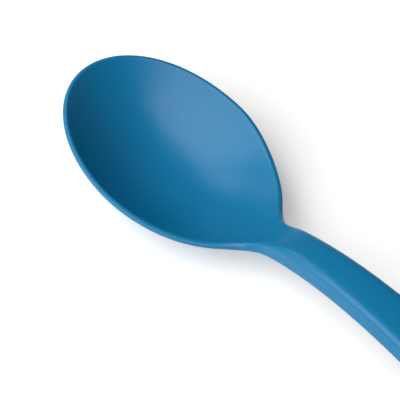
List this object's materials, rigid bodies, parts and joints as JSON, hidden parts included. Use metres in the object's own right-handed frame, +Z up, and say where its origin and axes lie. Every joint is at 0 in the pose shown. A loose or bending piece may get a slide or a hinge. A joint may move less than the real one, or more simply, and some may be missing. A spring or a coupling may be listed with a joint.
{
  "type": "camp spoon",
  "caption": "Moulded plastic camp spoon with a deep egg-shaped bowl whose rim runs on as the leaning sides of an arched, flat-topped handle with a hang hole.",
  "frame": {"origin": "centre of the small flat under the bowl, on the surface that the spoon lies on", "axes": "+X from the bowl along the handle to its end, +Z up out of the open bowl, Y across the bowl"},
  "size_m": [0.1769, 0.043, 0.021],
  "materials": {
    "moulded_blue": "fine satin moulded surface, blue all through"
  },
  "bodies": {
    "root": {"bowl": "moulded_blue", "handle": "moulded_blue"}
  },
  "joints": []
}
